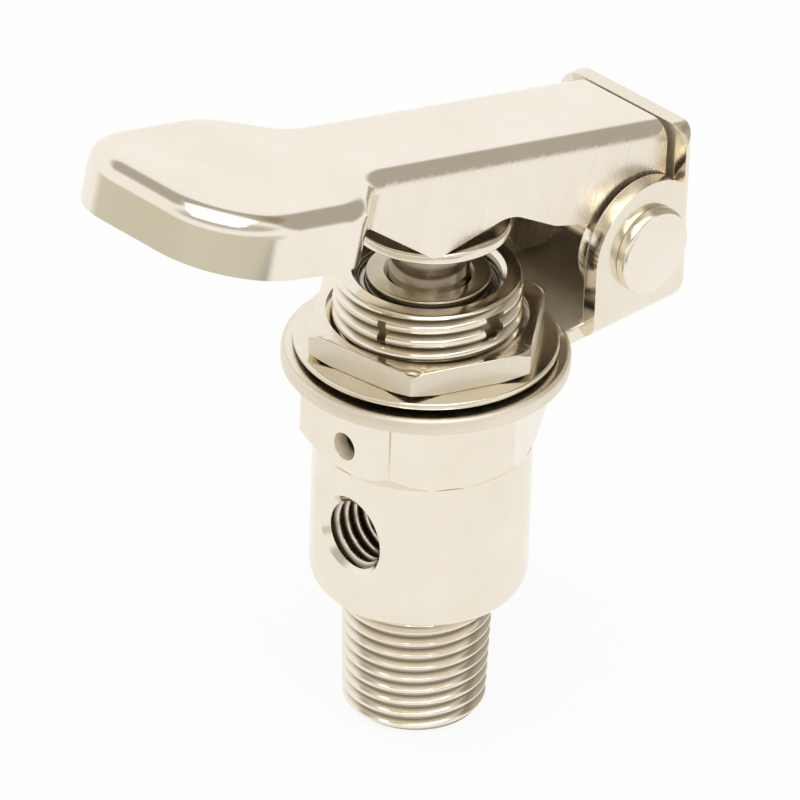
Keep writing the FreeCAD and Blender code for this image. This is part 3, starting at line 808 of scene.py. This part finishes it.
def make_stem():
    """The hollow stem with its seal groove, its collar and its cross hole."""
    stem = turn("stem", [
        (0.75, 1.65), (1.4, 1.65), (1.4, 10.30), (2.56, 10.30), (2.56, 10.55), (1.62, 10.55),
        (1.62, 11.70), (2.56, 11.70), (2.56, 11.95), (1.6, 11.95), (1.6, 19.60), (3.55, 19.60),
        (3.55, 20.56), (2.56, 20.56), (2.56, 26.45), (1.6, 26.45), (1.6, DISC_TOP),
        (1.95, DISC_TOP), (1.4, 27.5), (0, 27.5), (0, 13.65), (0.75, 13.65),
    ], [(1.4, 27.5, 0.15, 3)], 96)
    work(stem, slab("cross_hole", (-2.1, -0.5, 12.3), (0.0, 0.5, 13.3)))
    return hand_over(stem, "plunger_stem", "plunger", shaded_ground_stem)


def make_disc():
    """The disc that the lever's nose rests on."""
    disc = turn("disc", [
        (DISC_HOLE, DISC_LOW), (5.15, DISC_LOW), (5.15, DISC_TOP), (DISC_HOLE, DISC_TOP),
    ], [(5.15, DISC_TOP, 0.20, 5), (5.15, DISC_LOW, 0.15, 3)], 120)
    return hand_over(disc, "plunger_disc", "plunger", plated_sheet)


def make_bush():
    """The bush in the mouth of the boss, with a groove for the wiper inside."""
    bush = turn("bush", [
        (2.60, BUSH_FLOOR), (4.38, BUSH_FLOOR), (4.38, 21.8), (3.97, 21.8), (3.97, 22.95),
        (2.85, 22.95), (2.60, 22.70), (2.60, 22.27), (3.43, 22.27), (3.43, 21.38), (2.60, 21.38),
    ], [(3.97, 22.95, 0.15, 3)], 96)
    return hand_over(bush, "guide_bush", "housing", shaded_turned_bush)


def make_keeper():
    """The split ring that holds the bush down."""
    keeper = turn("keeper", [(3.99, 21.8), (4.39, 21.8), (4.39, 22.2), (3.99, 22.2)], [
        (3.99, 22.2, 0.12, 3), (4.39, 22.2, 0.12, 3),
    ], 96)
    work(keeper, slab("keeper_gap", (1.0, -0.8, 21), (6, 0.8, 23)))
    return hand_over(keeper, "bush_keeper", "housing", spring_wire)


def make_spring(node, coil, wire, half_turns):
    """Coiled wire spring in the place of its solid.

    coil and wire are radii in millimetres.
    """
    low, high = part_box(node)
    base, tall = low[2] / MM, (high[2] - low[2]) / MM
    sides = 12
    spring = trace(node, [
        (
            coil + wire * math.cos(math.tau * step / sides), 0,
            base + wire + wire * math.sin(math.tau * step / sides),
        )
        for step in range(sides)
    ])
    wind(spring, math.pi, (tall - 2 * wire) / half_turns, half_turns, 16)
    hand_over(spring, node, "housing", spring_wire, 60)
    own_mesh(spring)
    return spring


# ---------------------------------------------------------------- pin and clip

def make_pin():
    """The pin with its round head and the groove for its clip."""
    pin = turn("pin", [
        (0, -0.8), (2.9, -0.8), (2.9, 0), (PIN_RADIUS, 0), (PIN_RADIUS, 11.3), (1.1, 11.3),
        (1.1, 11.74), (PIN_RADIUS, 11.74), (PIN_RADIUS, 12.34), (0, 12.34),
    ], [(2.9, -0.8, 0.34, 5), (2.9, 0, 0.08, 2), (PIN_RADIUS, 12.34, 0.25, 3)], 96)
    stand(pin, (PIN_X, -TRAY_HALF, PIN_LEVEL), (-90, 0, 0))
    return hand_over(pin, "pivot_pin", "housing", plated_pin)


def make_pin_clip():
    """The snap clip on the far end of the pin."""
    clip = turn("clip", [(1.12, 0), (2.75, 0), (2.75, 0.4), (1.12, 0.4)], [
        (2.75, 0.4, 0.1, 2), (2.75, 0, 0.1, 2),
    ], 72)
    work(clip, slab("clip_mouth", (0, -0.95, -1), (4, 0.95, 1)))
    work(clip, bar("ear_hole", 0.42, (-1.75, 1.05, -1), 2, "Z", 24))
    stand(clip, (PIN_X, 5.72, PIN_LEVEL), (-90, 0, 0))
    return hand_over(clip, "pin_clip", "housing", spring_wire)


# --------------------------------------------------------------------- lever

def press_lever():
    """The lever's sheet as it is pressed, with one wall gauge all over and open below."""
    low, tall, gauge = -5.2, 13.1, 1.0
    rear, flare, shoulder, tip = 6, -25.6, -29.624, -41.3
    shell = press_out("lever", [
        (rear, -LEVER_HALF, low), (rear, LEVER_HALF, low), (flare, LEVER_HALF, low),
        (shoulder, SPOON_HALF, low), (tip, SPOON_HALF, low), (tip, -SPOON_HALF, low),
        (shoulder, -SPOON_HALF, low), (flare, -LEVER_HALF, low),
    ], (0, 0, tall), [
        ((tip, SPOON_HALF, low), 4.5, 12), ((tip, -SPOON_HALF, low), 5.8, 14),
        ((shoulder, SPOON_HALF, low), 1.85, 8), ((shoulder, -SPOON_HALF, low), 1.85, 8),
        ((flare, LEVER_HALF, low), 1.11, 8), ((flare, -LEVER_HALF, low), 1.11, 8),
    ])
    round_edges(shell, lambda one, two: (
        one.z > 7.8 and two.z > 7.8 and not (one.x > 5.9 and two.x > 5.9)
    ), 1.3, 8)
    open_up(shell)
    pick_faces(shell, lambda centre, normal: normal.z < -0.9 and centre.z < -5)
    bpy.ops.mesh.delete(type="FACE")
    close_up()
    return run(shell, "gauge", "SOLIDIFY", thickness=gauge, offset=-1.0, use_even_offset=True)


def lever_side():
    """The lever seen from the side: spoon, waist, arch, nose and the lug round the pin."""
    flare_low, waist, nose, arch = (-27.2, 3.45), (-25.9, 4.6), (-18.5, 1.248), (-12.3, 3.448)
    heel = (-7.8, 2.048)
    line = [
        (0.76, 8.4), (-42.3, 8.4), (-42.3, 4.15), flare_low, waist, nose, arch, heel,
        (-3.45, 1.648), (-0.55, -0.3), (2.85, -0.3), (2.61, 0.69),
    ]
    rounds = [
        (nose, 0.524, 8), (arch, 0.998, 8), (heel, 0.21, 3), (waist, 0.5, 5), (flare_low, 0.4, 5),
    ]
    side = press_out(
        "side", [(x, -10, z) for x, z in line], (0, 20, 0),
        [((x, -10, z), back, steps) for (x, z), back, steps in rounds],
    )
    return work(side, bar("lug", 3.3, (-0.55, -11, -0.3), 22, "Y", 96), "UNION")


def make_lever():
    """Pressed channel that flares into the spoon, drawn level about the pin and then tilted."""
    shell = press_lever()
    work(shell, lever_side(), "INTERSECT")
    work(shell, bar("lever_hole", PIN_HOLE, (0, -10, 0), 20, "Y", 48))
    ease(shell, 0.10, 40, 2)
    stand(shell, (PIN_X, 0, PIN_LEVEL), (0, LEVER_LEAN, 0))
    return hand_over(shell, "lever", "lever", lever_plate, 35)


make_valve_body()
make_clamp_nut()
make_lock_washer()
make_bracket()
make_stem()
make_disc()
make_bush()
make_keeper()
make_spring("return_spring", 3.2, 0.33, 7)
make_spring("poppet_spring", 2.1, 0.23, 8)
make_pin()
make_pin_clip()
make_lever()

# The other inner pieces keep their CAD shapes and get their finishes.
inner_finishes = {
    "seat_ring": inner_brass,
    "poppet": inner_brass,
    "poppet_facing": seal_rubber,
    "spring_retainer": inner_brass,
    "retainer_clip": spring_wire,
    "lower_seal": seal_rubber,
    "wiper_seal": seal_rubber,
}
for node, paint in inner_finishes.items():
    piece = cad_nodes[node]
    if not piece.material_slots:
        piece.data.materials.append(paint)
    for slot in piece.material_slots:
        slot.material = paint


# -------------------------------------------------------------------- studio

WHITE = (1.0, 1.0, 1.0)
WARM_GREY = (0.64, 0.62, 0.50)
MID_GREY = (0.34, 0.34, 0.34)


def ray_kinds(tree, kinds):
    """1 for the kinds of ray that are named, else 0."""
    path = tree.nodes.new("ShaderNodeLightPath")
    return most(tree, *[path.outputs[kind] for kind in kinds])


def lay_floor():
    """Plain white floor that keeps the valve's shadow.

    Bright metal sees two cards lying on it: a warm one beyond the spoon and a grey one on the
    near side.
    """
    clear_bench()
    bpy.ops.mesh.primitive_plane_add(size=0.24, location=(0, 0, -0.00905))
    floor = bpy.context.object
    floor.name = "floor"
    bpy.ops.object.transform_apply(location=True, rotation=True, scale=True)
    paint, tree, shader, place = sheet_of("white_floor")
    shader.inputs["Roughness"].default_value = 0.9
    shader.inputs["Specular IOR Level"].default_value = 0.1
    fleck = grain(tree, place, 40.0, 2.0)
    pale = tint(tree, fleck, (0.86, 0.86, 0.86), (0.90, 0.90, 0.90))
    tree.links.new(pale, shader.inputs["Base Color"])
    glow = tree.nodes.new("ShaderNodeEmission")
    glow.inputs["Strength"].default_value = 1.0
    across, along = part_of(tree, place, "X"), part_of(tree, place, "Y")
    warm_side = remap(tree, across, -0.040, -0.052, 0.0, 1.0)
    grey_front = times(
        tree, remap(tree, along, -0.066, -0.076, 0.0, 1.0),
        times(
            tree, remap(tree, across, -0.082, -0.070, 0.0, 1.0),
            remap(tree, across, -0.014, 0.0, 1.0, 0.0),
        ),
    )
    mirrored = ray_kinds(tree, ["Is Glossy Ray"])
    warmed = mix_colours(tree, times(tree, warm_side, mirrored), WHITE, WARM_GREY)
    shaded = mix_colours(tree, times(tree, grey_front, mirrored), warmed, MID_GREY)
    tree.links.new(shaded, glow.inputs["Color"])
    blend = tree.nodes.new("ShaderNodeMixShader")
    seen = ray_kinds(tree, ["Is Camera Ray", "Is Glossy Ray", "Is Transmission Ray"])
    tree.links.new(times(tree, seen, 0.9), blend.inputs["Fac"])
    tree.links.new(shader.outputs["BSDF"], blend.inputs[1])
    tree.links.new(glow.outputs["Emission"], blend.inputs[2])
    tree.links.new(blend.outputs["Shader"], tree.nodes["Material Output"].inputs["Surface"])
    floor.data.materials.append(paint)


def toward(tree, heading, way, edge, core):
    """How near a direction comes to this way: 0 at the edge of the card, 1 at its core."""
    side = tree.nodes.new("ShaderNodeVectorMath")
    side.operation = "DOT_PRODUCT"
    side.inputs[1].default_value = Vector(way).normalized()
    tree.links.new(heading, side.inputs[0])
    return remap(tree, side.outputs["Value"], edge, core, 0.0, 1.0)


def high_card(tree, heading, bottom, top, way, edge, core):
    """A card up on one side of the room; bottom and top are the heights it fades in and out at."""
    band = times(
        tree, toward(tree, heading, (0, 0, 1), *bottom),
        toward(tree, heading, (0, 0, -1), -top[1], -top[0]),
    )
    return times(tree, band, toward(tree, heading, way, edge, core))


def light_studio():
    """White room with soft light from above and warm grey cards.

    The cards hang at the right, high in front, high at the back and low at the front left.
    """
    world = bpy.data.worlds.new("studio")
    bpy.context.scene.world = world
    world.use_nodes = True
    tree = world.node_tree
    back = tree.nodes["Background"]
    heading = tree.nodes.new("ShaderNodeTexCoord").outputs["Generated"]
    right_card = toward(tree, heading, (0.86, -0.25, 0.33), 0.79, 0.87)
    front_card = high_card(
        tree, heading, (0.34, 0.46), (0.74, 0.86), (-0.66, -0.60, 0.0), 0.15, 0.45,
    )
    back_card = high_card(
        tree, heading, (0.64, 0.72), (0.88, 0.94), (0.64, 0.60, 0.0), -0.05, 0.15,
    )
    low_front = times(
        tree, toward(tree, heading, (0, 0, -1), -0.04, 0.08),
        toward(tree, heading, (-0.92, -0.39, 0.0), -0.05, 0.25),
    )
    level = 1.0
    for card, depth in ((right_card, 0.46), (front_card, 0.34), (back_card, 0.46)):
        level = minus(tree, level, times(tree, card, depth))
    level = most(tree, level, 0.12)
    shade = tint(tree, level, (0.0, 0.0, 0.0), WHITE)
    shade = mix_colours(tree, minus(tree, 1.0, level), shade, (0.36, 0.31, 0.20))
    shade = mix_colours(tree, low_front, shade, (0.67, 0.66, 0.56))
    seen = ray_kinds(tree, ["Is Camera Ray", "Is Transmission Ray"])
    tree.links.new(mix_colours(tree, seen, shade, WHITE), back.inputs["Color"])
    back.inputs["Strength"].default_value = 1.0

    for name, place, size, power in (
        ("overhead_softbox", (-0.20, -0.10, 0.70), 0.80, 2.2),
        ("left_spot", (-0.36, -0.17, 0.50), 0.05, 0.10),
        ("right_spot", (-0.14, -0.37, 0.50), 0.05, 0.10),
    ):
        clear_bench()
        bpy.ops.object.light_add(type="AREA", location=place)
        lamp = bpy.context.object
        lamp.name = name
        lamp.data.shape = "SQUARE"
        lamp.data.size = size
        lamp.data.energy = power
        aim = Vector((0, 0, 0.012)) - lamp.location
        lamp.rotation_euler = aim.to_track_quat("-Z", "Y").to_euler()


def set_camera():
    """The photograph's view: a long lens, a little turned."""
    swing, climb, roll = math.radians(-45.27), math.radians(31.81), math.radians(1.97)
    reach = 0.609
    back = Vector((
        math.sin(swing) * math.cos(climb), -math.cos(swing) * math.cos(climb), math.sin(climb),
    ))
    aim = Vector((0.002404, 0.004527, 0.010258))
    clear_bench()
    bpy.ops.object.camera_add(location=aim + back * reach)
    camera = bpy.context.object
    camera.name = "photo_camera"
    camera.data.lens = 430.1
    camera.data.sensor_width = 36.0
    camera.data.clip_start = 0.05
    turn_to = (-back).to_track_quat("-Z", "Y").to_matrix()
    camera.rotation_euler = (turn_to @ Matrix.Rotation(roll, 3, "Z")).to_euler()
    bpy.context.scene.camera = camera


lay_floor()
light_studio()
set_camera()
bpy.context.scene.view_settings.view_transform = "Standard"
